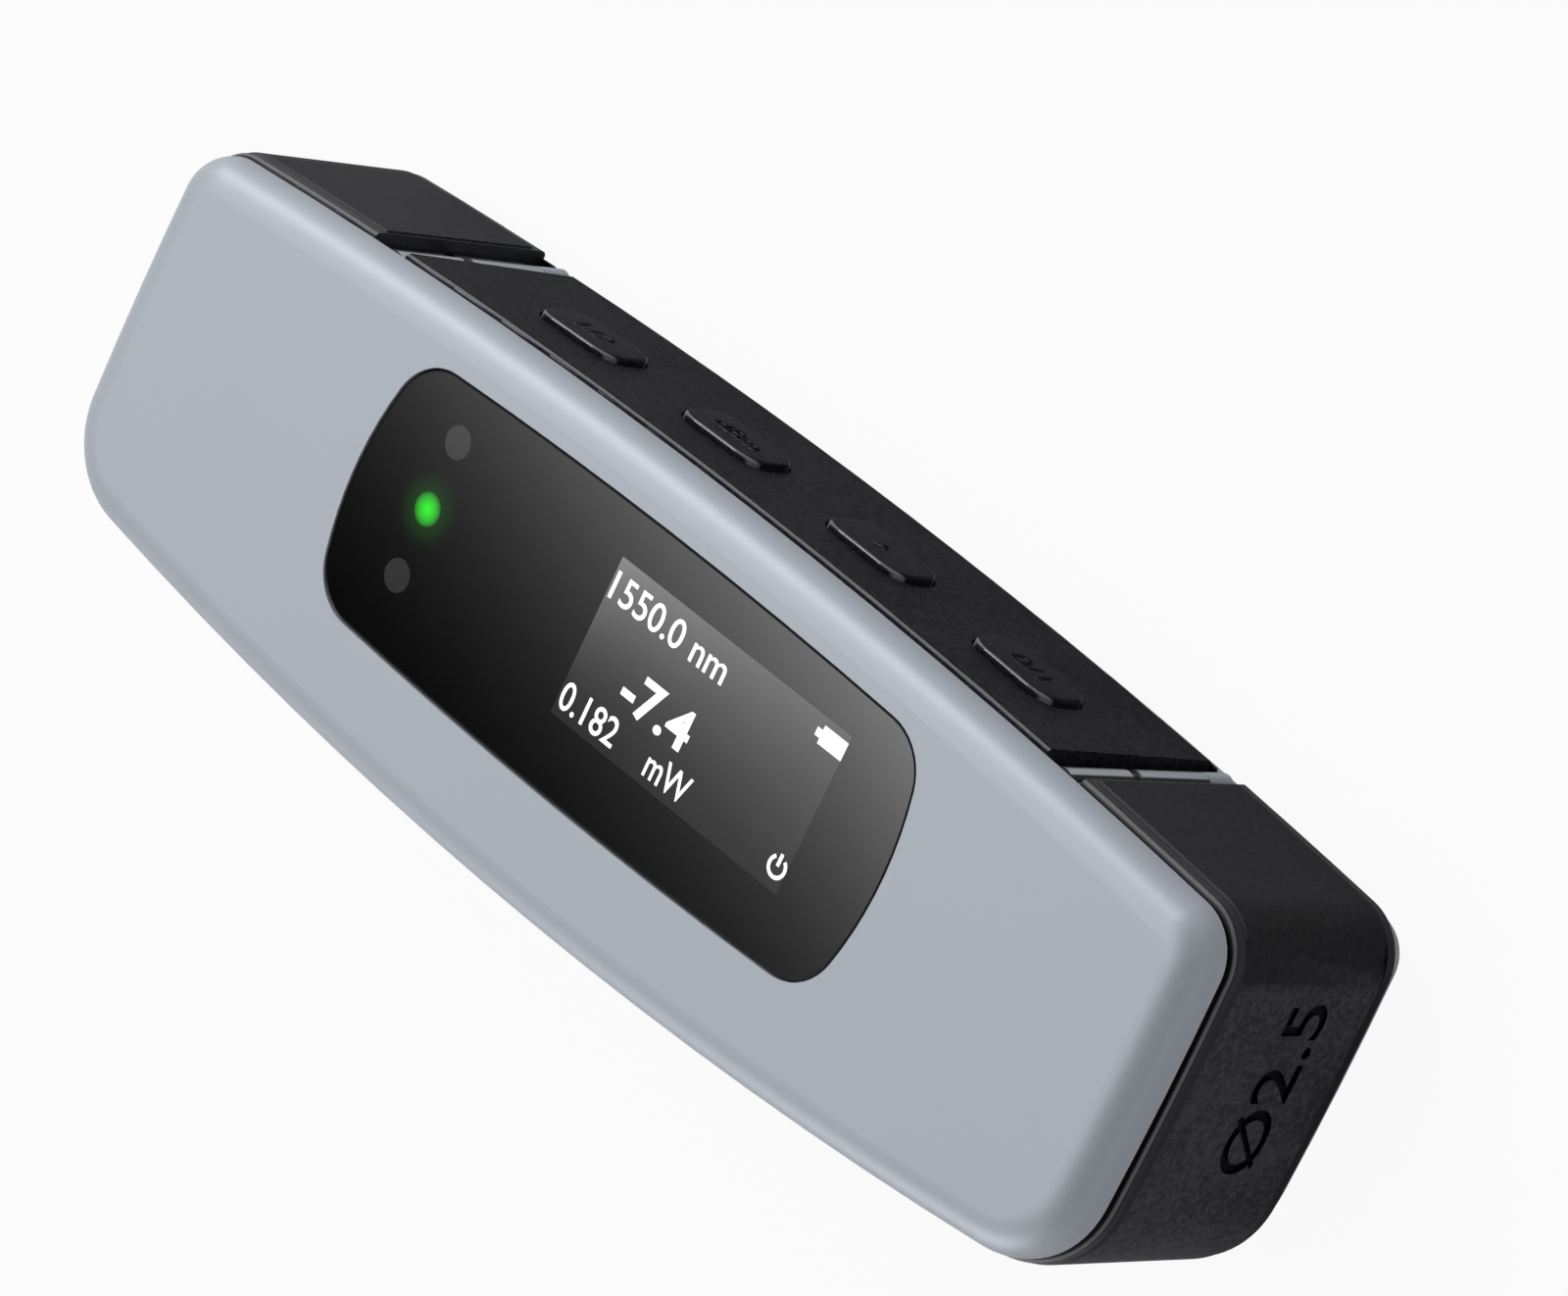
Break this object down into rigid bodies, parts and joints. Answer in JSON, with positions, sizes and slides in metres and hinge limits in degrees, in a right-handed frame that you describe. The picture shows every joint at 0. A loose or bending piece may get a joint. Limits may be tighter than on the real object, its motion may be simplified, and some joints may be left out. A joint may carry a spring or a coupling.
{
  "type": "pocket optical power meter",
  "caption": "Pocket optical power meter: bowed case with black window, side keys and swing-out end covers over ferrule ports.",
  "frame": {"origin": "middle of the flat back face, under the middle of the case outline", "axes": "+X to the measuring-port end, +Y to the key side, +Z out of the display"},
  "size_m": [0.0994, 0.0316, 0.0227],
  "materials": {
    "case_grey": "satin blue-grey metallic paint",
    "frame_black": "black moulded plastic",
    "window_black": "gloss black acrylic window",
    "soft_black": "fine-grained black soft moulding",
    "seal_rubber": "smooth silicone",
    "adhesive": "foam adhesive",
    "steel": "bright steel",
    "nickel": "satin nickel",
    "adapter_plastic": "dark plastic",
    "ceramic": "white ceramic",
    "board_green": "green solder mask",
    "chip_black": "moulded component",
    "plunger": "grey plastic",
    "cell_silver": "foil pouch",
    "glass": "display glass",
    "flex_amber": "amber film",
    "clear_guide": "clear acrylic",
    "lamp": "small lamp body"
  },
  "bodies": {
    "case": {"front_shell": "case_grey", "back_shell": "case_grey", "mid_frame": "frame_black", "window_lens": "window_black", "key_panel": "soft_black", "window_gasket": "adhesive", "battery_pad": "adhesive", "right_hinge_pin": "steel", "left_hinge_pin": "steel", "case_screws": "steel", "usb_shell": "steel", "meter_port_collar": "nickel", "laser_port_collar": "nickel", "laser_barrel": "nickel", "detector_holder": "nickel", "detector_can": "nickel", "laser_diode": "nickel", "meter_port_adapter": "adapter_plastic", "display_carrier": "adapter_plastic", "board_link": "adapter_plastic", "battery_socket": "adapter_plastic", "usb_tongue": "adapter_plastic", "laser_sleeve": "ceramic", "main_board": "board_green", "key_board": "board_green", "controller_chip": "chip_black", "amplifier_chip": "chip_black", "switch_body_1": "chip_black", "switch_body_2": "chip_black", "switch_body_3": "chip_black", "switch_body_4": "chip_black", "battery_cell": "cell_silver", "display_glass": "glass", "display_flex": "flex_amber", "light_guide": "clear_guide", "status_leds": "lamp"},
    "right_cover": {"right_cover_shell": "frame_black", "right_cover_pad": "soft_black", "right_cover_seal": "seal_rubber"},
    "left_cover": {"left_cover_shell": "frame_black", "left_cover_pad": "soft_black", "left_cover_seal": "seal_rubber"},
    "key_1_body": {"key_1": "soft_black", "switch_plunger_1": "plunger"},
    "key_2_body": {"key_2": "soft_black", "switch_plunger_2": "plunger"},
    "key_3_body": {"key_3": "soft_black", "switch_plunger_3": "plunger"},
    "key_4_body": {"key_4": "soft_black", "switch_plunger_4": "plunger"}
  },
  "joints": [
    {"name": "right_cover_hinge", "type": "hinge", "parent": "case", "child": "right_cover", "pos_m": [0.0321, 0.01334, 0.01135], "axis": [0, 0, 1], "range_deg": [0, 100]},
    {"name": "left_cover_hinge", "type": "hinge", "parent": "case", "child": "left_cover", "pos_m": [-0.0321, 0.01334, 0.01135], "axis": [0, 0, -1], "range_deg": [0, 100]},
    {"name": "key_1_press", "type": "slide", "parent": "case", "child": "key_1_body", "axis": [0, -1, 0], "range_m": [0, 0.0004], "stiffness_N_per_m": 2000},
    {"name": "key_2_press", "type": "slide", "parent": "case", "child": "key_2_body", "axis": [0, -1, 0], "range_m": [0, 0.0004], "stiffness_N_per_m": 2000},
    {"name": "key_3_press", "type": "slide", "parent": "case", "child": "key_3_body", "axis": [0, -1, 0], "range_m": [0, 0.0004], "stiffness_N_per_m": 2000},
    {"name": "key_4_press", "type": "slide", "parent": "case", "child": "key_4_body", "axis": [0, -1, 0], "range_m": [0, 0.0004], "stiffness_N_per_m": 2000}
  ]
}
